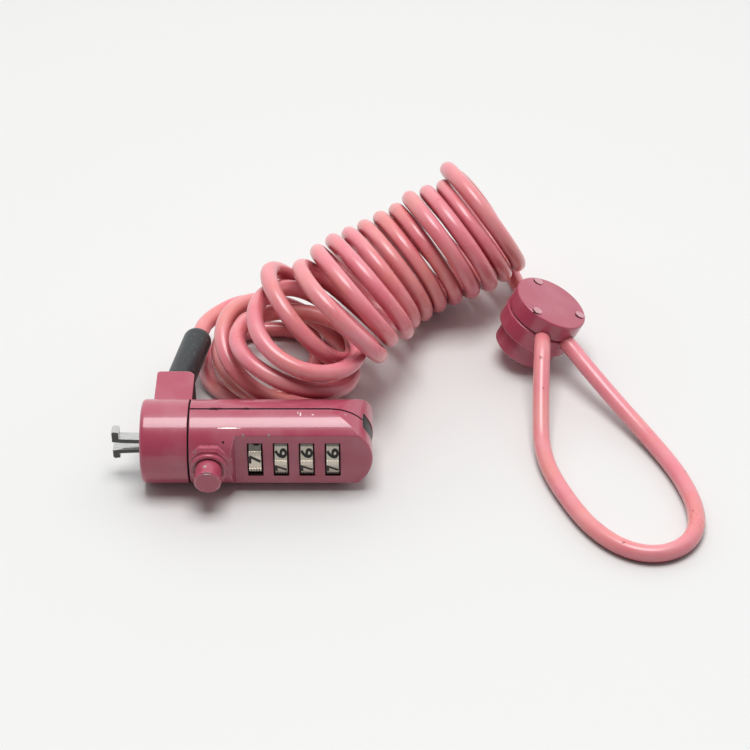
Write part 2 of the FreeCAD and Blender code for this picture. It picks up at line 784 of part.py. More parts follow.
def coilState(turn):
    # Centre, lean and radius of the coil at a turn, on a smooth curve through the turns listed above.
    last = len(coil_turns) - 1
    i = 0
    while i < last - 1 and turn > coil_turns[i + 1][0]:
        i += 1

    def slope(j, column):
        low = max(j - 1, 0)
        high = min(j + 1, last)
        return (coil_turns[high][column] - coil_turns[low][column]) / (coil_turns[high][0] - coil_turns[low][0])

    span = coil_turns[i + 1][0] - coil_turns[i][0]
    t = (turn - coil_turns[i][0]) / span
    values = []
    for column in range(1, 7):
        values.append((2 * t ** 3 - 3 * t ** 2 + 1) * coil_turns[i][column]
                      + (t ** 3 - 2 * t ** 2 + t) * span * slope(i, column)
                      + (3 * t ** 2 - 2 * t ** 3) * coil_turns[i + 1][column]
                      + (t ** 3 - t ** 2) * span * slope(i + 1, column))
    return values


def coilPoint(turn):
    x, y, z, lean_x, lean_y, radius = coilState(turn)
    axis = Vec(lean_x, lean_y, math.sqrt(1 - lean_x ** 2 - lean_y ** 2))
    tilt = math.radians(coil_facing)
    facing = Vec(0, -math.cos(tilt), math.sin(tilt))
    front = unit(facing - axis * facing.dot(axis))
    side = front.cross(axis)
    angle = math.radians(90 - 360 * turn)
    return Vec(x, y, z) - side * (radius * math.cos(angle)) + front * (radius * math.sin(angle))


def coilDirection(turn):
    step = 0.002
    return unit(coilPoint(turn - step) - coilPoint(turn + step))


def arcFrom(start, direction, end):
    chord = end - start
    half = chord.Length / 2
    along = unit(chord)
    bend = direction.getAngle(along)
    side = unit(direction - along * direction.dot(along))
    middle = start + chord * 0.5 + side * (half * math.tan(bend / 2))
    return Part.Arc(start, middle, end).toShape(), half / math.sin(bend)


def biarc(start, start_direction, end, end_direction):
    gap = end - start
    both = start_direction + end_direction
    share = 2 * (1 - start_direction.dot(end_direction))
    reach = gap.dot(both)
    length = (-reach + math.sqrt(reach ** 2 + share * gap.dot(gap))) / share
    middle = (start + start_direction * length + end - end_direction * length) * 0.5
    first, first_radius = arcFrom(start, start_direction, middle)
    second, second_radius = arcFrom(end, end_direction * -1, middle)
    return [first, second], [first_radius, second_radius]


def coilPath():
    exit_point, direction = bootFrame()
    raise_point = Vec(0, 0, axis_height)
    inside = boot_seat_depth + ferrule_length + boot_clearance - ferrule_end
    start = exit_point - direction * inside + raise_point
    tip = exit_point + direction * boot_reach + raise_point
    seat = capPoint(cap_radius - cable_seat_depth, coil_hole_angle, cable_hole_height)
    mouth = capPoint(cap_radius + cable_diameter, coil_hole_angle, cable_hole_height)
    stops = [(tip, direction)]
    turn = coil_start
    while turn > coil_end + 0.01:
        stops.append((coilPoint(turn), coilDirection(turn)))
        turn -= 0.25
    stops.append((coilPoint(coil_end), coilDirection(coil_end)))
    for place, heading in coil_lead:
        stops.append((Vec(*place), unit(Vec(*heading))))
    stops.append((mouth, unit(seat - mouth)))
    edges = [Part.LineSegment(start, tip).toShape()]
    radii = []
    for i in range(len(stops) - 1):
        pair, bends = biarc(*stops[i], *stops[i + 1])
        edges += pair
        radii += bends
    edges.append(Part.LineSegment(mouth, seat).toShape())
    return edges, radii


def loopPath():
    left, right = loop_hole_angles
    corners = [capPoint(cap_radius - cable_seat_depth, left, cable_hole_height),
               capPoint(cap_radius + loop_exit, left, cable_hole_height)]
    corners += [Vec(*point) for point in loop_route]
    corners += [capPoint(cap_radius + loop_exit, right, cable_hole_height),
                capPoint(cap_radius - cable_seat_depth, right, cable_hole_height)]
    edges = []
    radii = []
    place = corners[0]
    for i in range(1, len(corners) - 1):
        before = unit(corners[i] - corners[i - 1])
        after = unit(corners[i + 1] - corners[i])
        shorter = min((corners[i] - corners[i - 1]).Length, (corners[i + 1] - corners[i]).Length)
        cut = arc_share * shorter
        half_turn = before.getAngle(after) / 2
        start = corners[i] - before * cut
        end = corners[i] + after * cut
        edges.append(Part.LineSegment(place, start).toShape())
        arc, radius = arcFrom(start, before, end)
        edges.append(arc)
        radii.append(radius)
        place = end
    edges.append(Part.LineSegment(place, corners[-1]).toShape())
    return edges, radii


def pathPoints(edges, spacing):
    points = []
    for edge in edges:
        count = max(2, int(round(edge.Length / spacing)) + 1)
        row = edge.discretize(count)
        if points and points[-1].distanceToPoint(row[0]) > points[-1].distanceToPoint(row[-1]):
            row.reverse()
        points += row if not points else row[1:]
    return points


def leastGap(edges, spacing, apart):
    points = pathPoints(edges, spacing)
    skip = int(apart / spacing)
    least = 1000.0
    for i in range(len(points)):
        a = points[i]
        for b in points[i + skip:]:
            if abs(a.x - b.x) < least and abs(a.y - b.y) < least:
                least = min(least, a.distanceToPoint(b))
    return least - cable_diameter


def cableTube(name, edges, radii):
    length = sum(edge.Length for edge in edges)
    first = edges[0]
    start = first.valueAt(first.FirstParameter)
    profile = Part.Wire(Part.makeCircle(cable_radius, start, first.tangentAt(first.FirstParameter)))
    tube = Part.Wire(edges).makePipeShell([profile], True, False)
    plain = math.pi * cable_radius ** 2 * length
    print(name, "length", round(length, 1), "mm, radii", [round(radius, 1) for radius in radii])
    print(name, "volume", round(tube.Volume / plain, 4), "of section times length, least gap to itself",
          round(leastGap(edges, 1.0, 4 * cable_diameter), 2), "mm")
    return tube


parts = {
    "swivel_collar": swivelCollar(),
    "cable_boot": cableBoot(),
    "cable_ferrule": cableFerrule(),
    "head_sleeve": headSleeve(),
    "collar_ring": collarRing(),
    "jaw_carrier": jawCarrier(),
    "jaw_pins": jawPins(),
    "upper_jaw": jaw(1, upper_hook_height),
    "lower_jaw": jaw(-1, lower_hook_height),
    "front_housing": frontHousing(),
    "rear_housing": rearHousing(),
    "end_insert": endInsert(),
    "case_rivets": caseRivets(),
    "release_button": releaseButton(),
    "button_spring": buttonSpring(),
    "dial_spindle": dialSpindle(),
    "detent_spring": detentSpring(),
}
for index in range(dial_count):
    parts["dial_%d" % (index + 1)] = dial(index)
    parts["gate_sleeve_%d" % (index + 1)] = gateSleeve(index)
for shape in parts.values():
    shape.translate(lock_place)

cap_parts = {
    "cap_top_disc": capTopDisc(),
    "cap_middle_ring": capMiddleRing(),
    "cap_base": capBase(),
    "cap_rivets": capRivets(),
}
for name, shape in cap_parts.items():
    shape = capFrame(shape)
    shape.translate(cable_place)
    parts[name] = shape

cable_paths = {
    "coil_cord": coilPath(),
    "loop_cord": loopPath(),
}
for name, (edges, radii) in cable_paths.items():
    parts[name] = cableTube(name, edges, radii)
    parts[name].translate(cable_place)

os.makedirs("parts", exist_ok=True)
for name, shape in parts.items():
    print(name, len(shape.Solids), "solids", round(shape.Volume, 1), "mm3", "valid", shape.isValid())
    shape.exportStep("parts/%s.step" % name)
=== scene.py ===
import json
from math import radians, cos, sin, pi, sqrt

import bpy
import bmesh
from mathutils import Vector, Matrix


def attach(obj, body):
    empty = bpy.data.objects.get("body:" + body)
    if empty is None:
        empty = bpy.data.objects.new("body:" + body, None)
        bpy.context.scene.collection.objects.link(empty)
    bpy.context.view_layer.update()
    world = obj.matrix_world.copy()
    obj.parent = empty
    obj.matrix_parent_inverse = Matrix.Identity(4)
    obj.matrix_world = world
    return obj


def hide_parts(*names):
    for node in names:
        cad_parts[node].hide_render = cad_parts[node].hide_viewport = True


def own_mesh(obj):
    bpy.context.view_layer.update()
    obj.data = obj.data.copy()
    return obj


# Laptop cable lock: four number dials, push button, two steel hooks, coiled cable, end cap and
# loop. Metres throughout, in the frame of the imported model: the lock's axis lies along X.

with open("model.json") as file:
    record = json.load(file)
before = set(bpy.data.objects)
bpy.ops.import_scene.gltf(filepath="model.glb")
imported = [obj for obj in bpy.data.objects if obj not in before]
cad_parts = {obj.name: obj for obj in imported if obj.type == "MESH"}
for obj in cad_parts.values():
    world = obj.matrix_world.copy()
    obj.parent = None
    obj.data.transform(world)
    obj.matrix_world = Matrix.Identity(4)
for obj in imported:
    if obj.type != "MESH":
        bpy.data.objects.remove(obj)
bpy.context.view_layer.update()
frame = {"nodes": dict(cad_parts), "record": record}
nodes = frame["nodes"]
mm = 0.001

# The seam between collar and barrel, and the lock's axis. Places on the lock are counted from them.
lock = {
    "seam": -13.75 * mm,
    "axisY": -3.25 * mm,
    "axisZ": 11.2 * mm,
}


# x along the lock from the seam, y behind its axis and z above the table, all in metres
def fromSeam(x, y, z):
    return Vector((lock["seam"] + x, lock["axisY"] + y, z))


# x along the lock from the seam, y behind and z above its axis, all in metres
def fromAxis(x, y, z):
    return Vector((lock["seam"] + x, lock["axisY"] + y, lock["axisZ"] + z))


# Camera at the photograph's place
print("camera")
view = {
    "place": (0.035183, -0.450232, 0.389175),
    "tilt": 51.5,
    "lens": 105.6,
    "sensor": 36.0,
}
cameraData = bpy.data.cameras.new("camera")
cameraData.lens = view["lens"]
cameraData.sensor_width = view["sensor"]
camera = bpy.data.objects.new("camera", cameraData)
camera.location = view["place"]
camera.rotation_euler = (radians(view["tilt"]), 0, 0)
bpy.context.scene.collection.objects.link(camera)
bpy.context.scene.camera = camera


# Cables. The coil's turns are counted from the end cap. Each row gives the turn, its middle (x and
# y from the seam, z above the table), the lean of its axis (x and y parts) and the radius of the
# cable's line.
print("cables")
coil = {
    "turns": (
        (0.5, 0.0815, 0.0857, 0.0268, 0.70, 0.37, 0.0173),
        (1, 0.0812, 0.0845, 0.0257, 0.78, 0.34, 0.0167),
        (2, 0.0778, 0.0808, 0.0229, 0.77, 0.36, 0.0152),
        (3, 0.0730, 0.0776, 0.0229, 0.78, 0.39, 0.0164),
        (4, 0.0681, 0.0756, 0.0217, 0.78, 0.40, 0.0163),
        (5, 0.0637, 0.0761, 0.0179, 0.78, 0.43, 0.0153),
        (6, 0.0589, 0.0746, 0.0165, 0.78, 0.43, 0.0153),
        (7, 0.0546, 0.0710, 0.0159, 0.77, 0.45, 0.0154),
        (8, 0.0503, 0.0643, 0.0184, 0.76, 0.46, 0.0153),
        (9, 0.0474, 0.0530, 0.0232, 0.73, 0.46, 0.0166),
        (10, 0.0428, 0.0440, 0.0269, 0.72, 0.42, 0.0154),
        (11, 0.0399, 0.0332, 0.0295, 0.66, 0.36, 0.0168),
        (12, 0.0304, 0.0354, 0.0261, 0.69, 0.24, 0.0167),
        (13, 0.0306, 0.0245, 0.0288, 0.26, -0.09, 0.0147),
        (14, 0.0268, 0.0268, 0.0198, 0.31, 0.15, 0.0173),
        (15, 0.0240, 0.0340, 0.0164, 0.35, -0.25, 0.0184),
        (16, 0.0228, 0.0412, 0.0056, 0.14, 0.00, 0.0182),
        (17, 0.0169, 0.0445, 0.0030, -0.05, 0.00, 0.0167),
        (17.75, 0.0155, 0.0486, 0.0111, 0.00, -0.19, 0.0158),
    ),
    "first": 17.5,      # turn at which the boot's straight cable joins the coil
    "last": 0.683,      # turn at which the lead to the cap leaves it
    "perTurn": 16,      # control points in a turn
    "facing": 38.5,     # whole turns are at the front, seen from this many degrees above level
    "diameter": 4.6 * mm,
    "length": 1.8746,
    "lead": (           # from the last turn into the end cap
        (0.0719, 0.0988, 0.0306),
        (0.0754, 0.1084, 0.0224),
        (0.0857, 0.1029, 0.0101),
        (0.0905, 0.0815, 0.0026),
        (0.0960, 0.0745, 0.0028),
        (0.1003, 0.0692, 0.0062),
    ),
    "steps": 5,         # of the mesh between two control points
    "roundness": 7,     # of the mesh round the cable
}
boot = {
    "exit": (-4.95 * mm, 23.5 * mm),  # where the cable leaves the ear, from the seam and the axis
    "lean": 11.0,                     # degrees to the right of straight back
    "reach": 23.0 * mm,
    "cableStart": 10.6 * mm,          # inside the ear
    "straightOn": 7.0 * mm,           # past the boot
}
cap = {
    "top": (98.75 * mm, 50.6 * mm, 19.5 * mm),
    "lean": 25.7,                     # degrees, to the right
    "turn": 3.7,                      # degrees, seen from above
    "radius": 10.8 * mm,
    "holeHeight": -5.7 * mm,          # under the top
    "seatDepth": 4.0 * mm,            # of a cable's end in the cap
    "leadOut": 4.0 * mm,              # straight way out of the coil's hole
    "loopOut": 2.5 * mm,              # straight way out of the loop's holes
    "coilHole": 68.5,                 # degrees round the cap
    "loopHoles": (262.0, 308.0),
}
loop = {
    "route": (
        (0.09495, 0.0300, 0.0124),
        (0.09455, 0.0230, 0.0090),
        (0.09425, 0.0158, 0.0058),
        (0.09405, 0.0080, 0.0030),
        (0.09575, -0.0030, 0.0023),
        (0.10175, -0.0182, 0.0023),
        (0.10615, -0.0256, 0.0023),
        (0.11125, -0.0311, 0.0023),
        (0.11715, -0.0342, 0.0023),
        (0.12355, -0.0342, 0.0023),
        (0.12895, -0.0310, 0.0023),
        (0.13225, -0.0256, 0.0023),
        (0.13315, -0.0192, 0.0023),
        (0.13235, -0.0115, 0.0023),
        (0.12935, -0.0010, 0.0023),
        (0.12305, 0.0120, 0.0028),
        (0.11475, 0.0245, 0.0058),
        (0.10735, 0.0348, 0.0096),
    ),
    "length": 0.1877,
}


# A place on the leaning end cap: distance from its middle, angle round it, height over its top.
def onCap(radius, angle, height):
    turned = Matrix.Rotation(radians(cap["turn"]), 3, "Z")
    leaning = Matrix.Rotation(radians(cap["lean"]), 3, "Y")
    local = Vector((radius * cos(radians(angle)), radius * sin(radians(angle)), height))
    return fromSeam(*cap["top"]) + turned @ leaning @ local


# The end of a cable in its hole in the cap's side, and the place where it comes out.
def capHole(angle, out):
    return [onCap(cap["radius"] - cap["seatDepth"], angle, cap["holeHeight"]),
            onCap(cap["radius"] + out, angle, cap["holeHeight"])]


# Middle, lean and radius of the coil at a turn, eased between the turns of the list.
def coilState(turn):
    turns = coil["turns"]
    last = len(turns) - 1
    i = 0
    while i < last - 1 and turn > turns[i + 1][0]:
        i += 1

    def slope(j, column):
        low, high = turns[max(j - 1, 0)], turns[min(j + 1, last)]
        return (high[column] - low[column]) / (high[0] - low[0])

    span = turns[i + 1][0] - turns[i][0]
    t = (turn - turns[i][0]) / span
    return [(2 * t ** 3 - 3 * t ** 2 + 1) * turns[i][column]
            + (t ** 3 - 2 * t ** 2 + t) * span * slope(i, column)
            + (3 * t ** 2 - 2 * t ** 3) * turns[i + 1][column]
            + (t ** 3 - t ** 2) * span * slope(i + 1, column) for column in range(1, 7)]


# A control point of the coil at a turn.
def onCoil(turn):
    x, y, z, leanX, leanY, radius = coilState(turn)
    axis = Vector((leanX, leanY, sqrt(1 - leanX ** 2 - leanY ** 2)))
    facing = Vector((0, -cos(radians(coil["facing"])), sin(radians(coil["facing"]))))
    front = (facing - axis * facing.dot(axis)).normalized()
    side = front.cross(axis)
    angle = radians(90 - 360 * turn)
    wide = radius / cos(pi / coil["perTurn"])  # the spline runs inside its points
    return fromSeam(x, y, z) - side * (wide * cos(angle)) + front * (wide * sin(angle))


# A round cable along a smooth spline through these control points.
def cable(name, points):
    curve = bpy.data.curves.new(name, "CURVE")
    curve.dimensions = "3D"
    curve.resolution_u = coil["steps"]
    curve.bevel_depth = 1.0  # times each point's radius
    curve.bevel_resolution = coil["roundness"]
    curve.use_fill_caps = True
    spline = curve.splines.new("NURBS")
    spline.points.add(len(points) - 1)
    for place, point in zip(spline.points, points):
        place.co = (*point, 1)
        place.radius = coil["diameter"] / 2
    spline.order_u = 3
    spline.use_endpoint_u = True
    tube = bpy.data.objects.new(name, curve)
    bpy.context.scene.collection.objects.link(tube)
    return tube


bootWay = Vector((sin(radians(boot["lean"])), cos(radians(boot["lean"])), 0))
bootExit = fromAxis(*boot["exit"], 0)
coilPoints = [bootExit + bootWay * way for way in (
    -boot["cableStart"], 0, boot["reach"] / 2, boot["reach"], boot["reach"] + boot["straightOn"])]
turn = coil["first"] + 1 / coil["perTurn"]
while turn > coil["last"]:
    coilPoints.append(onCoil(turn))
    turn -= 1 / coil["perTurn"]
coilPoints += [fromSeam(*point) for point in coil["lead"]]
coilPoints += reversed(capHole(cap["coilHole"], cap["leadOut"]))
coilCable = cable("coil_cable", coilPoints)

leftHole, rightHole = cap["loopHoles"]
loopPoints = capHole(leftHole, cap["loopOut"])
loopPoints += [fromSeam(*point) for point in loop["route"]]
loopPoints += reversed(capHole(rightHole, cap["loopOut"]))
loopCable = cable("loop_cable", loopPoints)

for piece, node in ((coilCable, "coil_cord"), (loopCable, "loop_cord")):
    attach(piece, "cable_side")
    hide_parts(node)


# Numbers on the dials: ten on each, printed black across the flats, tops toward the hooks.
print("dial numbers")
dials = {
    "count": 4,
    "first": 17.4 * mm,
    "pitch": 6.8 * mm,
    "faces": 10,
    "faceRadius": 8.45 * mm,
    "proud": 0.012 * mm,
    "height": 2.95 * mm,
    "figureShare": 0.7,  # a figure is this much of the font's size high
    "stretch": 1.4,
    "bold": 0.13 * mm,
    "shown": ((7, 0.0), (6, 18.0), (6, 18.0), (6, 18.0)),  # figure in front, degrees it is raised
    "shift": (0.75 * mm, -0.05 * mm, 0.0, -0.1 * mm),  # printed a little off the faces' middle
}


# One flat figure in its place on a dial, so many degrees above level.
def dialNumber(number, lift, x, shift):
    text = bpy.data.curves.new("number", "FONT")
    text.body = str(number)
    text.align_x = "CENTER"
    text.align_y = "CENTER"
    size = dials["height"] / dials["figureShare"]
    text.offset = dials["bold"] / size
    holder = bpy.data.objects.new("number", text)
    flat = bpy.data.meshes.new_from_object(holder)
    bpy.data.objects.remove(holder)
    for v in flat.vertices:
        v.co *= size
    low = min(v.co.y for v in flat.vertices)
    high = max(v.co.y for v in flat.vertices)
    angle = radians(lift)
    along = Vector((0, sin(angle), cos(angle)))  # up round the dial, the way the figure reads
    outward = Vector((0, -cos(angle), sin(angle)))
    face = dials["faceRadius"] + dials["proud"]
    middle = fromAxis(x, 0, 0) + outward * face + along * shift
    for v in flat.vertices:
        across = Vector((1, 0, 0)) * (v.co.y - (low + high) / 2)
        v.co = middle + along * (v.co.x * dials["stretch"]) - across
    return flat


def dialNumbers(index):
    made = bmesh.new()
    shown, lift = dials["shown"][index]
    x = dials["first"] + index * dials["pitch"]
    for number in range(dials["faces"]):
        above = lift - 360 / dials["faces"] * (number - shown)
        flat = dialNumber(number, above, x, dials["shift"][index])
        made.from_mesh(flat)
        bpy.data.meshes.remove(flat)
    mesh = bpy.data.meshes.new("dial_numbers_%d" % (index + 1))
    made.to_mesh(mesh)
    made.free()
    piece = bpy.data.objects.new(mesh.name, mesh)
    bpy.context.scene.collection.objects.link(piece)
    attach(piece, "dial_body_%d" % (index + 1))
    return piece


numberPieces = [dialNumbers(index) for index in range(dials["count"])]


# The button's spring, which on the real lock closes up toward the back wall as the button goes in;
# here a copy of the model's spring, fixed to the lock's body.
print("button spring")
springMesh = nodes["button_spring"].data.copy()
springMesh.transform(nodes["button_spring"].matrix_world)
buttonSpring = bpy.data.objects.new("button_spring_wire", springMesh)
bpy.context.scene.collection.objects.link(buttonSpring)
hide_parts("button_spring")
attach(buttonSpring, "lock_body")
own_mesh(buttonSpring)


# Materials
print("materials")


def fromHex(code):
    parts = [int(code[i:i + 2], 16) / 255 for i in (1, 3, 5)]
    return tuple(c / 12.92 if c <= 0.04045 else ((c + 0.055) / 1.055) ** 2.4 for c in parts) + (1,)


# Adds a node: settings by attribute or input, links from the sockets of other nodes.
def addNode(material, kind, settings={}, links={}):
    node = material.node_tree.nodes.new(kind)
    for key, value in settings.items():
        if isinstance(key, str) and hasattr(node, key):
            setattr(node, key, value)
        else:
            node.inputs[key].default_value = value
    for key, socket in links.items():
        material.node_tree.links.new(socket, node.inputs[key])
    return node


def newMaterial(name):
    material = bpy.data.materials.new(name)
    material.use_nodes = True
    material.node_tree.nodes.clear()
    return material


def finishMaterial(material, shader):
    addNode(material, "ShaderNodeOutputMaterial", links={"Surface": shader.outputs[0]})
    return material


# Gloss paint over die-cast zinc: a thick smooth coat, a little orange peel, dulled by handling. It
# is rubbed pale along edges, where a painted highlight also lies, chipped to the metal in places
# and grimy in its seams and pits, with painted shade in the dial windows and in front of the cap's
# rivet heads.
# A pair is the lowest and the highest value, or where a mask begins and where it is full.
lacquerLook = {
    "tone": "#AC4159",
    "faded": "#B25668",
    "dirt": "#74404A",
    "rubbedHighlight": "#D9AEB4",
    "metal": "#CFC0BE",
    # grime in the seams and pits, and painted shade in the dial windows and in front of the rivet
    # heads
    "grimeAndShade": "#3A151E",
    "ior": 1.5,
    "roughness": (0.24, 0.42),
    "coat": 0.6,
    "coatRoughness": 0.05,
    "patch": 9.0 * mm,
    "fadedMask": (0.42, 0.68),
    "speck": 0.9 * mm,
    "speckRoughness": 0.7,
    "dirtMask": (0.60, 0.74),
    "dirtMost": 0.5,
    "edge": 0.27 * mm,          # radius within which an edge is worn and carries a painted highlight
    "edgeMask": (0.988, 0.92),  # how far the rounded edge turns, as a cosine
    "wearMask": (0.38, 0.56),
    "wearMost": 0.8,
    "peel": 1.6 * mm,
    "peelStrength": 0.10,
    "peelDepth": 0.05 * mm,
    "chipStrength": 0.6,
    "chipDepth": 0.04 * mm,
    "chips": (  # from the seam and the lock's axis, with each one's reach on the three axes, in mm
        ((5.3, -17.0, 3.3), (1.5, 0.22, 0.4)),
        ((4.7, -14.4, 3.4), (0.5, 0.4, 0.4)),
        ((10.6, -11.6, 0.4), (0.4, 0.4, 0.5)),
        ((29.4, -1.9, 10.9), (0.16, 0.7, 0.5)),
        ((28.7, -1.5, 11.0), (0.12, 0.5, 0.5)),
        ((32.6, -2.2, 10.8), (0.35, 0.15, 0.4)),
        ((10.6, -5.9, 9.4), (3.0, 0.14, 0.3)),
        ((14.5, -7.4, 8.2), (0.3, 0.3, 0.3)),
        ((21.2, -7.4, 8.2), (0.35, 0.3, 0.3)),
        ((2.0, -10.3, 5.2), (0.9, 0.3, 0.3)),
        ((41.5, -1.5, 10.6), (0.8, 0.2, 0.4)),
    ),
    "pits": (
        ((9.3, -8.7, 6.9), (0.35, 0.35, 0.35)),
        ((6.8, 0.0, 11.1), (2.4, 0.5, 0.6)),
        ((15.2, 0.0, 11.1), (1.1, 0.5, 0.6)),
    ),
    "capRivets": (111.0, 231.0, 351.0),
    "capRivetCircle": 8.9 * mm,
    "capRivetShade": (-0.4 * mm, -0.5 * mm, 0.0),  # painted shade in front of a rivet head
    "capRivetReach": (1.3, 1.3, 1.3),
    "seamGrime": 0.26 * mm,
    "splitGrime": 0.32 * mm,
}

# Painted shade in the dial windows: how far it reaches from a dial's middle, along the lock, behind
# the flat and up and down from the axis.
windowShade = {
    "reach": 2.08 * mm,
    "front": 7.66 * mm,
    "back": 6.2 * mm,
    "tall": 5.62 * mm,
    "past": 2.2 * mm,  # beyond the middles of the first and last dial
}

# The edge of a small spot: speckled noise, times its weight, is added to the distance.
spotEdge = {
    "ragged": 1.6,
    "mask": (1.9, 1.65),
}


# A mask that is 1 inside each of these small egg-shaped places and 0 a little outside.
def placesMask(material, place, spots, ragged):
    total = None
    for centre, reach in spots:
        local = addNode(material, "ShaderNodeMapping", {
            "vector_type": "TEXTURE", "Location": centre, "Scale": [r * mm for r in reach]},
            {"Vector": place.outputs["Object"]})
        far = addNode(material, "ShaderNodeVectorMath", {"operation": "LENGTH"},
                      {0: local.outputs["Vector"]})
        rough = addNode(material, "ShaderNodeMath", {
            "operation": "MULTIPLY_ADD", 1: spotEdge["ragged"]},
            {0: ragged.outputs["Fac"], 2: far.outputs["Value"]})
        near = addNode(material, "ShaderNodeMapRange", {
            "From Min": spotEdge["mask"][0], "From Max": spotEdge["mask"][1]},
            {"Value": rough.outputs["Value"]})
        if total is None:
            total = near.outputs["Result"]
        else:
            total = addNode(material, "ShaderNodeMath", {"operation": "MAXIMUM"},
                            {0: total, 1: near.outputs["Result"]}).outputs["Value"]
    return total


# The parts of a place, and how far along the lock it is from the middle of the nearest dial.
def fromDial(material, place):
    axes = addNode(material, "ShaderNodeSeparateXYZ", links={"Vector": place.outputs["Object"]})
    shifted = addNode(material, "ShaderNodeMath", {
        "operation": "SUBTRACT", 1: lock["seam"] + dials["first"]}, {0: axes.outputs["X"]})
    return axes, addNode(material, "ShaderNodeMath", {
        "operation": "PINGPONG", 1: dials["pitch"] / 2}, {0: shifted.outputs["Value"]})


# A mask for the painted shade on the walls of the four dial windows and the shell just behind their
# rims.
def windowWalls(material, place):
    axes, along = fromDial(material, place)
    inside = addNode(material, "ShaderNodeMath", {
        "operation": "LESS_THAN", 1: windowShade["reach"]}, {0: along.outputs["Value"]})
    deep = addNode(material, "ShaderNodeMath", {
        "operation": "GREATER_THAN", 1: lock["axisY"] - windowShade["front"]},
        {0: axes.outputs["Y"]})
    low = addNode(material, "ShaderNodeMath", {
        "operation": "LESS_THAN", 1: lock["axisY"] - windowShade["back"]}, {0: axes.outputs["Y"]})
    height = addNode(material, "ShaderNodeMath", {
        "operation": "SUBTRACT", 1: lock["axisZ"]}, {0: axes.outputs["Z"]})
    tall = addNode(material, "ShaderNodeMath", {"operation": "ABSOLUTE"},
                   {0: height.outputs["Value"]})
    middle = addNode(material, "ShaderNodeMath", {
        "operation": "LESS_THAN", 1: windowShade["tall"]}, {0: tall.outputs["Value"]})
    halfRow = dials["pitch"] * (dials["count"] - 1) / 2
    row = addNode(material, "ShaderNodeMath", {
        "operation": "COMPARE", 1: lock["seam"] + dials["first"] + halfRow,
        2: halfRow + windowShade["past"]}, {0: axes.outputs["X"]})
    wall = inside.outputs["Value"]
    for other in (deep, low, middle, row):
        wall = addNode(material, "ShaderNodeMath", {"operation": "MULTIPLY"},
                       {0: wall, 1: other.outputs["Value"]}).outputs["Value"]
    return axes, wall


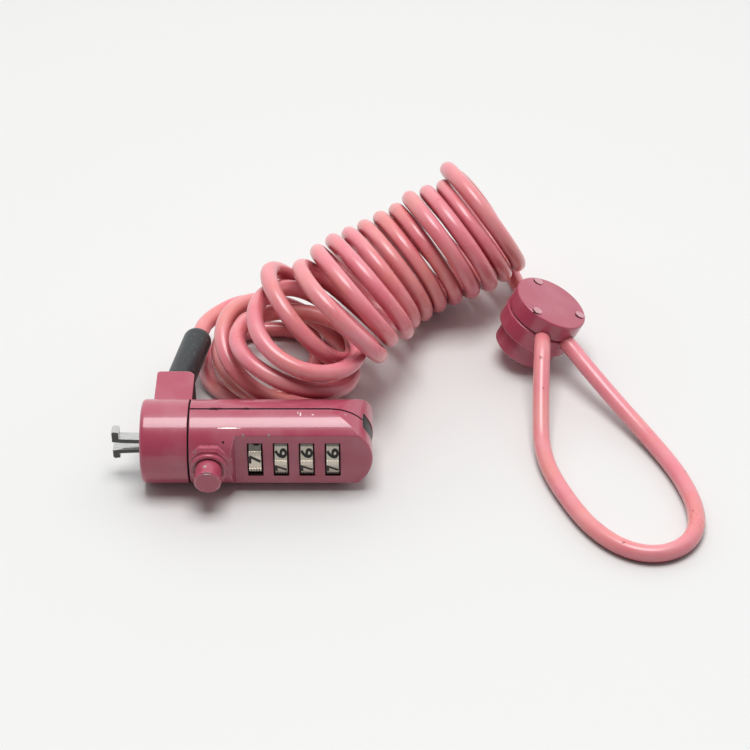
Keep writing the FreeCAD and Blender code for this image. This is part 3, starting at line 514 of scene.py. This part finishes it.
def paintedZinc():
    look = lacquerLook
    made = newMaterial("gloss_paint_on_zinc")
    place = addNode(made, "ShaderNodeTexCoord")
    patch = addNode(made, "ShaderNodeTexNoise", {"Scale": 1 / look["patch"], "Detail": 4.0},
                    {"Vector": place.outputs["Object"]})
    patchMask = addNode(made, "ShaderNodeMapRange", {
        "From Min": look["fadedMask"][0], "From Max": look["fadedMask"][1]},
        {"Value": patch.outputs["Fac"]})
    tone = addNode(made, "ShaderNodeMix", {
        "data_type": "RGBA", 6: fromHex(look["tone"]), 7: fromHex(look["faded"])},
        {0: patchMask.outputs["Result"]})
    speck = addNode(made, "ShaderNodeTexNoise", {
        "Scale": 1 / look["speck"], "Detail": 6.0, "Roughness": look["speckRoughness"]},
        {"Vector": place.outputs["Object"]})
    dirtMask = addNode(made, "ShaderNodeMapRange", {
        "From Min": look["dirtMask"][0], "From Max": look["dirtMask"][1],
        "To Max": look["dirtMost"]}, {"Value": speck.outputs["Fac"]})
    dirty = addNode(made, "ShaderNodeMix", {"data_type": "RGBA", 7: fromHex(look["dirt"])},
                    {0: dirtMask.outputs["Result"], 6: tone.outputs[2]})

    # Edges rubbed pale, with a painted highlight: where a rounded normal leaves the true one.
    rounded = addNode(made, "ShaderNodeBevel", {"samples": 4, "Radius": look["edge"]})
    flat = addNode(made, "ShaderNodeNewGeometry")
    turned = addNode(made, "ShaderNodeVectorMath", {"operation": "DOT_PRODUCT"},
                     {0: rounded.outputs["Normal"], 1: flat.outputs["Normal"]})
    edge = addNode(made, "ShaderNodeMapRange", {
        "From Min": look["edgeMask"][0], "From Max": look["edgeMask"][1]},
        {"Value": turned.outputs["Value"]})
    edgeWear = addNode(made, "ShaderNodeMapRange", {
        "From Min": look["wearMask"][0], "From Max": look["wearMask"][1],
        "To Max": look["wearMost"]}, {"Value": speck.outputs["Fac"]})
    edgeMask = addNode(made, "ShaderNodeMath", {"operation": "MULTIPLY"},
                       {0: edge.outputs["Result"], 1: edgeWear.outputs["Result"]})
    rubbedHighlight = addNode(made, "ShaderNodeMix", {"data_type": "RGBA", 7: fromHex(look["rubbedHighlight"])},
                     {0: edgeMask.outputs["Value"], 6: dirty.outputs[2]})

    # Painted shade in the windows and in front of the cap's rivets, and grime in the seams and the
    # dark pits.
    axes, wall = windowWalls(made, place)
    across = addNode(made, "ShaderNodeMath", {
        "operation": "COMPARE", 1: lock["seam"], 2: look["seamGrime"]}, {0: axes.outputs["X"]})
    split = addNode(made, "ShaderNodeMath", {
        "operation": "COMPARE", 1: lock["axisY"], 2: look["splitGrime"]}, {0: axes.outputs["Y"]})
    barrel = addNode(made, "ShaderNodeMath", {"operation": "GREATER_THAN", 1: lock["seam"]},
                     {0: axes.outputs["X"]})
    lengthways = addNode(made, "ShaderNodeMath", {"operation": "MULTIPLY"},
                         {0: split.outputs["Value"], 1: barrel.outputs["Value"]})
    pits = [(fromAxis(*(c * mm for c in middle)), reach) for middle, reach in look["pits"]]
    # Painted shade in front of each of the cap's rivet heads.
    pits += [(onCap(look["capRivetCircle"], angle, 0) + Vector(look["capRivetShade"]),
              look["capRivetReach"]) for angle in look["capRivets"]]
    dark = wall
    for other in (across.outputs["Value"], lengthways.outputs["Value"],
                  placesMask(made, place, pits, speck)):
        dark = addNode(made, "ShaderNodeMath", {"operation": "MAXIMUM"},
                       {0: dark, 1: other}).outputs["Value"]
    grimyAndShaded = addNode(made, "ShaderNodeMix", {"data_type": "RGBA", 7: fromHex(look["grimeAndShade"])},
                    {0: dark, 6: rubbedHighlight.outputs[2]})

    # Chips down to the zinc.
    chipPlaces = [(fromAxis(*(c * mm for c in middle)), reach) for middle, reach in look["chips"]]
    chips = placesMask(made, place, chipPlaces, speck)
    colour = addNode(made, "ShaderNodeMix", {"data_type": "RGBA", 7: fromHex(look["metal"])},
                     {0: chips, 6: grimyAndShaded.outputs[2]})
    peel = addNode(made, "ShaderNodeTexNoise", {"Scale": 1 / look["peel"], "Detail": 2.0},
                   {"Vector": place.outputs["Object"]})
    bump = addNode(made, "ShaderNodeBump", {
        "Strength": look["peelStrength"], "Distance": look["peelDepth"]},
        {"Height": peel.outputs["Fac"]})
    chipped = addNode(made, "ShaderNodeBump", {
        "Strength": look["chipStrength"], "Distance": look["chipDepth"], "invert": True},
        {"Height": chips, "Normal": bump.outputs["Normal"]})
    smooth = addNode(made, "ShaderNodeMapRange", {
        "To Min": look["roughness"][0], "To Max": look["roughness"][1]},
        {"Value": patch.outputs["Fac"]})
    rough = addNode(made, "ShaderNodeMath", {"operation": "MAXIMUM"},
                    {0: smooth.outputs["Result"], 1: dark})
    coat = addNode(made, "ShaderNodeMapRange", {"To Min": look["coat"], "To Max": 0.0},
                   {"Value": dark})
    shader = addNode(made, "ShaderNodeBsdfPrincipled", {
        "IOR": look["ior"], "Coat Roughness": look["coatRoughness"]},
        {"Base Color": colour.outputs[2], "Roughness": rough.outputs["Value"],
         "Coat Weight": coat.outputs["Result"], "Metallic": chips,
         "Normal": chipped.outputs["Normal"]})
    return finishMaterial(made, shader)


# Extruded soft PVC over steel rope: satin, a little see-through, pinker and more salmon by turns,
# with a pale haze from handling, dark specks, a few nicks and painted shade in deep red between the
# turns.
jacketLook = {
    "salmon": "#E28A85",
    "pink": "#E37E8B",
    "worn": "#E8B0B2",
    "nick": "#9E2A2E",
    "deep": "#A4263C",  # painted shade between the turns
    "ior": 1.53,
    "roughness": (0.21, 0.37),
    "coat": 0.35,
    "coatRoughness": 0.24,
    "seeThrough": 0.15,
    "seeThroughDepth": 1.0 * mm,
    "patch": 22.0 * mm,
    "patchMask": (0.38, 0.62),
    "haze": 9.0 * mm,
    "hazeMask": (0.4, 0.8),
    "hazeMost": 0.35,
    "hazeStrength": 0.1,
    "hazeDepth": 0.05 * mm,
    "speck": 0.7 * mm,
    "speckMask": (0.735, 0.76),
    "speckMost": 0.7,
    "gap": 7.0 * mm,
    "gapMask": (0.78, 0.15),
    "nicks": (  # from the seam and the table, with each one's reach on the three axes, in mm
        ((94.7, 31.0, 15.2), (0.45, 0.6, 0.5)),
        ((94.9, 22.5, 11.0), (0.3, 0.4, 0.4)),
        ((131.8, -20.0, 4.6), (0.3, 0.5, 0.4)),
        ((112.6, -32.4, 4.5), (0.5, 0.3, 0.4)),
    ),
}


def softPvc():
    look = jacketLook
    made = newMaterial("extruded_soft_pvc")
    place = addNode(made, "ShaderNodeTexCoord")
    patch = addNode(made, "ShaderNodeTexNoise", {"Scale": 1 / look["patch"], "Detail": 3.0},
                    {"Vector": place.outputs["Object"]})
    patchMask = addNode(made, "ShaderNodeMapRange", {
        "From Min": look["patchMask"][0], "From Max": look["patchMask"][1]},
        {"Value": patch.outputs["Fac"]})
    tone = addNode(made, "ShaderNodeMix", {
        "data_type": "RGBA", 6: fromHex(look["pink"]), 7: fromHex(look["salmon"])},
        {0: patchMask.outputs["Result"]})
    haze = addNode(made, "ShaderNodeTexNoise", {"Scale": 1 / look["haze"], "Detail": 2.0},
                   {"Vector": place.outputs["Object"]})
    hazeMask = addNode(made, "ShaderNodeMapRange", {
        "From Min": look["hazeMask"][0], "From Max": look["hazeMask"][1],
        "To Max": look["hazeMost"]}, {"Value": haze.outputs["Fac"]})
    worn = addNode(made, "ShaderNodeMix", {"data_type": "RGBA", 7: fromHex(look["worn"])},
                   {0: hazeMask.outputs["Result"], 6: tone.outputs[2]})
    speck = addNode(made, "ShaderNodeTexNoise", {"Scale": 1 / look["speck"], "Detail": 5.0},
                    {"Vector": place.outputs["Object"]})
    nicks = [(fromSeam(*(c * mm for c in middle)), reach) for middle, reach in look["nicks"]]
    dots = addNode(made, "ShaderNodeMapRange", {
        "From Min": look["speckMask"][0], "From Max": look["speckMask"][1],
        "To Max": look["speckMost"]}, {"Value": speck.outputs["Fac"]})
    dark = addNode(made, "ShaderNodeMath", {"operation": "MAXIMUM"},
                   {0: placesMask(made, place, nicks, speck), 1: dots.outputs["Result"]})
    nicked = addNode(made, "ShaderNodeMix", {"data_type": "RGBA", 7: fromHex(look["nick"])},
                     {0: dark.outputs["Value"], 6: worn.outputs[2]})
    # Painted shade: deep red where other turns close the cable in.
    opening = addNode(made, "ShaderNodeAmbientOcclusion", {"samples": 4, "Distance": look["gap"]})
    between = addNode(made, "ShaderNodeMapRange", {
        "From Min": look["gapMask"][0], "From Max": look["gapMask"][1]},
        {"Value": opening.outputs["AO"]})
    colour = addNode(made, "ShaderNodeMix", {"data_type": "RGBA", 7: fromHex(look["deep"])},
                     {0: between.outputs["Result"], 6: nicked.outputs[2]})
    rough = addNode(made, "ShaderNodeMapRange", {
        "To Min": look["roughness"][0], "To Max": look["roughness"][1]},
        {"Value": haze.outputs["Fac"]})
    bump = addNode(made, "ShaderNodeBump", {
        "Strength": look["hazeStrength"], "Distance": look["hazeDepth"]},
        {"Height": haze.outputs["Fac"]})
    shader = addNode(made, "ShaderNodeBsdfPrincipled", {
        "IOR": look["ior"], "Coat Weight": look["coat"], "Coat Roughness": look["coatRoughness"],
        "Subsurface Weight": look["seeThrough"], "Subsurface Scale": look["seeThroughDepth"]},
        {"Base Color": colour.outputs[2], "Roughness": rough.outputs["Result"],
         "Normal": bump.outputs["Normal"]})
    return finishMaterial(made, shader)


# Moulded black rubber: matt, with pale dust in its grain.
rubberLook = {
    "tone": "#2C3032",
    "dust": "#6E7273",
    "ior": 1.52,
    "roughness": (0.28, 0.5),
    "speck": 0.9 * mm,
    "dustMask": (0.60, 0.74),
    "dustMost": 0.7,
    "grainStrength": 0.25,
    "grainDepth": 0.05 * mm,
}


def mouldedRubber():
    look = rubberLook
    made = newMaterial("moulded_rubber")
    place = addNode(made, "ShaderNodeTexCoord")
    speck = addNode(made, "ShaderNodeTexNoise", {"Scale": 1 / look["speck"], "Detail": 5.0},
                    {"Vector": place.outputs["Object"]})
    dust = addNode(made, "ShaderNodeMapRange", {
        "From Min": look["dustMask"][0], "From Max": look["dustMask"][1],
        "To Max": look["dustMost"]}, {"Value": speck.outputs["Fac"]})
    colour = addNode(made, "ShaderNodeMix", {
        "data_type": "RGBA", 6: fromHex(look["tone"]), 7: fromHex(look["dust"])},
        {0: dust.outputs["Result"]})
    bump = addNode(made, "ShaderNodeBump", {
        "Strength": look["grainStrength"], "Distance": look["grainDepth"]},
        {"Height": speck.outputs["Fac"]})
    rough = addNode(made, "ShaderNodeMapRange", {
        "To Min": look["roughness"][0], "To Max": look["roughness"][1]},
        {"Value": speck.outputs["Fac"]})
    shader = addNode(made, "ShaderNodeBsdfPrincipled", {"IOR": look["ior"]},
                     {"Base Color": colour.outputs[2], "Roughness": rough.outputs["Result"],
                      "Normal": bump.outputs["Normal"]})
    return finishMaterial(made, shader)


# Bare metals: two tones, the mean roughness, the width of the marks that the making left and how
# the marks stretch on the three axes. The hooks are ground bright, with painted shade on the faces
# that don't look up and a painted highlight on their edges. The dials are nickel plated, with fine
# lines round them and painted shade at their sides. The rivet heads keep a rest of pink paint.
# Turned steel shows rings, drawn wire is dull and the brass is plain.
metals = {
    "ground_steel": {"tone": "#EDECE9", "shade": "#B5B4B1", "roughness": 0.18,
                     "mark": 0.5 * mm, "stretch": (0.15, 1, 1), "paintedShade": "#32302E"},
    "turned_steel": {"tone": "#A2A2A2", "shade": "#7E7E7E", "roughness": 0.35,
                     "mark": 0.4 * mm, "stretch": (1, 0.2, 0.2)},
    "drawn_wire": {"tone": "#8C8C8E", "shade": "#6C6C6E", "roughness": 0.35,
                   "mark": 0.3 * mm, "stretch": (1, 1, 1)},
    "satin_nickel_plate": {"tone": "#DAD2C6", "shade": "#BDB3A4", "roughness": 0.24,
                           "mark": 0.25 * mm, "stretch": (1, 0.1, 0.1), "sideShadeFrom": 1.52 * mm},
    "worn_painted_steel": {"tone": "#F2C9CD", "shade": "#C77F8B", "roughness": 0.34,
                           "mark": 0.6 * mm, "stretch": (1, 1, 1)},
    "machined_brass": {"tone": "#C8A85E", "shade": "#A88A44", "roughness": 0.32,
                       "mark": 0.4 * mm, "stretch": (1, 1, 1)},
}
metalWearAndShade = {
    "roughness": (0.7, 1.3),    # times a metal's own
    "markStrength": 0.15,
    "markDepth": 0.02 * mm,
    "sideShadeFade": 0.15 * mm,
    "paintedShadeMask": (0.75, 0.15),    # painted shade by how far a face looks up
    "paintedShadeMost": 0.92,
    # the painted highlight on the hooks' edges
    "edge": 0.25 * mm,
    "edgeMask": (0.99, 0.93),   # how far the rounded edge turns, as a cosine
}


def bareMetal(name):
    look = metals[name]
    made = newMaterial(name)
    place = addNode(made, "ShaderNodeTexCoord")
    along = addNode(made, "ShaderNodeMapping", {"Scale": look["stretch"]},
                    {"Vector": place.outputs["Object"]})
    marks = addNode(made, "ShaderNodeTexNoise", {"Scale": 1 / look["mark"], "Detail": 4.0},
                    {"Vector": along.outputs["Vector"]})
    colour = addNode(made, "ShaderNodeMix", {
        "data_type": "RGBA", 6: fromHex(look["shade"]), 7: fromHex(look["tone"])},
        {0: marks.outputs["Fac"]})
    if "sideShadeFrom" in look:  # painted shade on a dial's two sides
        axes, beside = fromDial(made, place)
        side = addNode(made, "ShaderNodeMapRange", {
            "From Min": look["sideShadeFrom"], "From Max": look["sideShadeFrom"] + metalWearAndShade["sideShadeFade"]},
            {"Value": beside.outputs["Value"]})
        colour = addNode(made, "ShaderNodeMix", {
            "data_type": "RGBA", 7: fromHex(lacquerLook["grimeAndShade"])},
            {0: side.outputs["Result"], 6: colour.outputs[2]})
    if "paintedShade" in look:  # painted shade on faces that don't look up, and a painted highlight on the edges
        flat = addNode(made, "ShaderNodeNewGeometry")
        facing = addNode(made, "ShaderNodeSeparateXYZ", links={"Vector": flat.outputs["Normal"]})
        below = addNode(made, "ShaderNodeMapRange", {
            "From Min": metalWearAndShade["paintedShadeMask"][0], "From Max": metalWearAndShade["paintedShadeMask"][1],
            "To Max": metalWearAndShade["paintedShadeMost"]}, {"Value": facing.outputs["Z"]})
        withPaintedShade = addNode(made, "ShaderNodeMix", {"data_type": "RGBA", 7: fromHex(look["paintedShade"])},
                       {0: below.outputs["Result"], 6: colour.outputs[2]})
        rounded = addNode(made, "ShaderNodeBevel", {"samples": 4, "Radius": metalWearAndShade["edge"]})
        turned = addNode(made, "ShaderNodeVectorMath", {"operation": "DOT_PRODUCT"},
                         {0: rounded.outputs["Normal"], 1: flat.outputs["Normal"]})
        edge = addNode(made, "ShaderNodeMapRange", {
            "From Min": metalWearAndShade["edgeMask"][0], "From Max": metalWearAndShade["edgeMask"][1]},
            {"Value": turned.outputs["Value"]})
        colour = addNode(made, "ShaderNodeMix", {"data_type": "RGBA", 7: fromHex(look["tone"])},
                         {0: edge.outputs["Result"], 6: withPaintedShade.outputs[2]})
    rough = addNode(made, "ShaderNodeMapRange", {
        "To Min": look["roughness"] * metalWearAndShade["roughness"][0],
        "To Max": look["roughness"] * metalWearAndShade["roughness"][1]}, {"Value": marks.outputs["Fac"]})
    bump = addNode(made, "ShaderNodeBump", {
        "Strength": metalWearAndShade["markStrength"], "Distance": metalWearAndShade["markDepth"]},
        {"Height": marks.outputs["Fac"]})
    shader = addNode(made, "ShaderNodeBsdfPrincipled", {"Metallic": 1.0},
                     {"Base Color": colour.outputs[2], "Roughness": rough.outputs["Result"],
                      "Normal": bump.outputs["Normal"]})
    return finishMaterial(made, shader)


# Black printing ink: matt, worn thin in places.
inkLook = {"tone": "#0E0C0B", "thin": "#2A2723", "wear": 0.4 * mm, "ior": 1.48, "roughness": 0.5}


def printingInk():
    made = newMaterial("printing_ink")
    place = addNode(made, "ShaderNodeTexCoord")
    wear = addNode(made, "ShaderNodeTexNoise", {"Scale": 1 / inkLook["wear"], "Detail": 3.0},
                   {"Vector": place.outputs["Object"]})
    colour = addNode(made, "ShaderNodeMix", {
        "data_type": "RGBA", 6: fromHex(inkLook["tone"]), 7: fromHex(inkLook["thin"])},
        {0: wear.outputs["Fac"]})
    shader = addNode(made, "ShaderNodeBsdfPrincipled", {
        "IOR": inkLook["ior"], "Roughness": inkLook["roughness"]},
        {"Base Color": colour.outputs[2]})
    return finishMaterial(made, shader)


# Injection moulded ABS: black, low in gloss, with a fine grain.
absLook = {
    "tone": "#121314",
    "pale": "#222426",
    "ior": 1.53,
    "roughness": 0.4,
    "grain": 0.3 * mm,
    "grainStrength": 0.2,
    "grainDepth": 0.02 * mm,
}


def mouldedAbs():
    look = absLook
    made = newMaterial("moulded_abs")
    place = addNode(made, "ShaderNodeTexCoord")
    grain = addNode(made, "ShaderNodeTexNoise", {"Scale": 1 / look["grain"], "Detail": 3.0},
                    {"Vector": place.outputs["Object"]})
    colour = addNode(made, "ShaderNodeMix", {
        "data_type": "RGBA", 6: fromHex(look["tone"]), 7: fromHex(look["pale"])},
        {0: grain.outputs["Fac"]})
    bump = addNode(made, "ShaderNodeBump", {
        "Strength": look["grainStrength"], "Distance": look["grainDepth"]},
        {"Height": grain.outputs["Fac"]})
    shader = addNode(made, "ShaderNodeBsdfPrincipled", {
        "IOR": look["ior"], "Roughness": look["roughness"]},
        {"Base Color": colour.outputs[2], "Normal": bump.outputs["Normal"]})
    return finishMaterial(made, shader)


paint = paintedZinc()
jacket = softPvc()
rubber = mouldedRubber()
metal = {name: bareMetal(name) for name in metals}
ink = printingInk()
plastic = mouldedAbs()

finishes = {
    "lacquer": paint,
    "cable_jacket": jacket,
    "boot_rubber": rubber,
    "insert_black": plastic,
    "jaw_steel": metal["ground_steel"],
    "inner_steel": metal["turned_steel"],
    "spring_steel": metal["drawn_wire"],
    "dial_nickel": metal["satin_nickel_plate"],
    "rivet_metal": metal["worn_painted_steel"],
    "gate_brass": metal["machined_brass"],
}
for part in frame["record"]["subparts"]:
    mesh = nodes[part["node"]].data
    mesh.materials.clear()
    mesh.materials.append(finishes[part["material_slot"]])
for piece in (coilCable, loopCable):
    piece.data.materials.append(jacket)
for piece in numberPieces:
    piece.data.materials.append(ink)
buttonSpring.data.materials.clear()
buttonSpring.data.materials.append(metal["drawn_wire"])


# Table and light: a white table top under one wide lamp, in a room that is bright behind the
# object and dim in front of it.
print("table and light")
studio = {
    "floor": "#DEDEDC",
    "floorSize": 3.0,
    "floorRoughness": (0.35, 0.5),
    "floorCloud": 0.08,
    "floorIor": 1.45,
    "frontWall": "#727273",
    "backWall": "#EEEFF1",
    "seenWall": "#EAEAEA",        # what the camera itself sees
    "wallChange": (-0.25, 0.35),  # front to back, as the sine of the direction
    "wallGlow": 1.11,
    "lamp": (0.04, 0.04, 1.10),
    "lampSize": (0.60, 0.58),
    "lampPower": 9.35,
}


# Laminate: white, smooth and low in gloss, cloudy where it has been wiped.
def whiteTable():
    made = newMaterial("white_laminate_table")
    place = addNode(made, "ShaderNodeTexCoord")
    cloud = addNode(made, "ShaderNodeTexNoise", {
        "Scale": 1 / studio["floorCloud"], "Detail": 2.0}, {"Vector": place.outputs["Object"]})
    rough = addNode(made, "ShaderNodeMapRange", {
        "To Min": studio["floorRoughness"][0], "To Max": studio["floorRoughness"][1]},
        {"Value": cloud.outputs["Fac"]})
    shader = addNode(made, "ShaderNodeBsdfPrincipled", {
        "Base Color": fromHex(studio["floor"]), "IOR": studio["floorIor"]},
        {"Roughness": rough.outputs["Result"]})
    return finishMaterial(made, shader)


table = bmesh.new()
bmesh.ops.create_grid(table, x_segments=1, y_segments=1, size=studio["floorSize"] / 2)
tableMesh = bpy.data.meshes.new("table")
table.to_mesh(tableMesh)
table.free()
tableTop = bpy.data.objects.new("table", tableMesh)
tableMesh.materials.append(whiteTable())
bpy.context.scene.collection.objects.link(tableTop)

lampData = bpy.data.lights.new("overhead", "AREA")
lampData.shape = "RECTANGLE"
lampData.size, lampData.size_y = studio["lampSize"]
lampData.energy = studio["lampPower"]
lamp = bpy.data.objects.new("overhead", lampData)
lamp.location = studio["lamp"]
bpy.context.scene.collection.objects.link(lamp)


# The room: its tone goes from the dim front to the bright back, and the camera itself sees white.
def roomLight():
    world = bpy.data.worlds.new("studio")
    world.use_nodes = True
    world.node_tree.nodes.clear()
    place = addNode(world, "ShaderNodeTexCoord")
    axes = addNode(world, "ShaderNodeSeparateXYZ", links={"Vector": place.outputs["Generated"]})
    back = addNode(world, "ShaderNodeMapRange", {
        "interpolation_type": "SMOOTHSTEP",
        "From Min": studio["wallChange"][0], "From Max": studio["wallChange"][1]},
        {"Value": axes.outputs["Y"]})
    tone = addNode(world, "ShaderNodeMix", {
        "data_type": "RGBA", 6: fromHex(studio["frontWall"]), 7: fromHex(studio["backWall"])},
        {0: back.outputs["Result"]})
    rays = addNode(world, "ShaderNodeLightPath")
    seen = addNode(world, "ShaderNodeMix", {
        "data_type": "RGBA", 7: fromHex(studio["seenWall"])},
        {0: rays.outputs["Is Camera Ray"], 6: tone.outputs[2]})
    glow = addNode(world, "ShaderNodeBackground", {"Strength": studio["wallGlow"]},
                   {"Color": seen.outputs[2]})
    addNode(world, "ShaderNodeOutputWorld", links={"Surface": glow.outputs[0]})
    return world


bpy.context.scene.world = roomLight()
bpy.context.scene.view_settings.view_transform = "Standard"

bpy.context.view_layer.update()
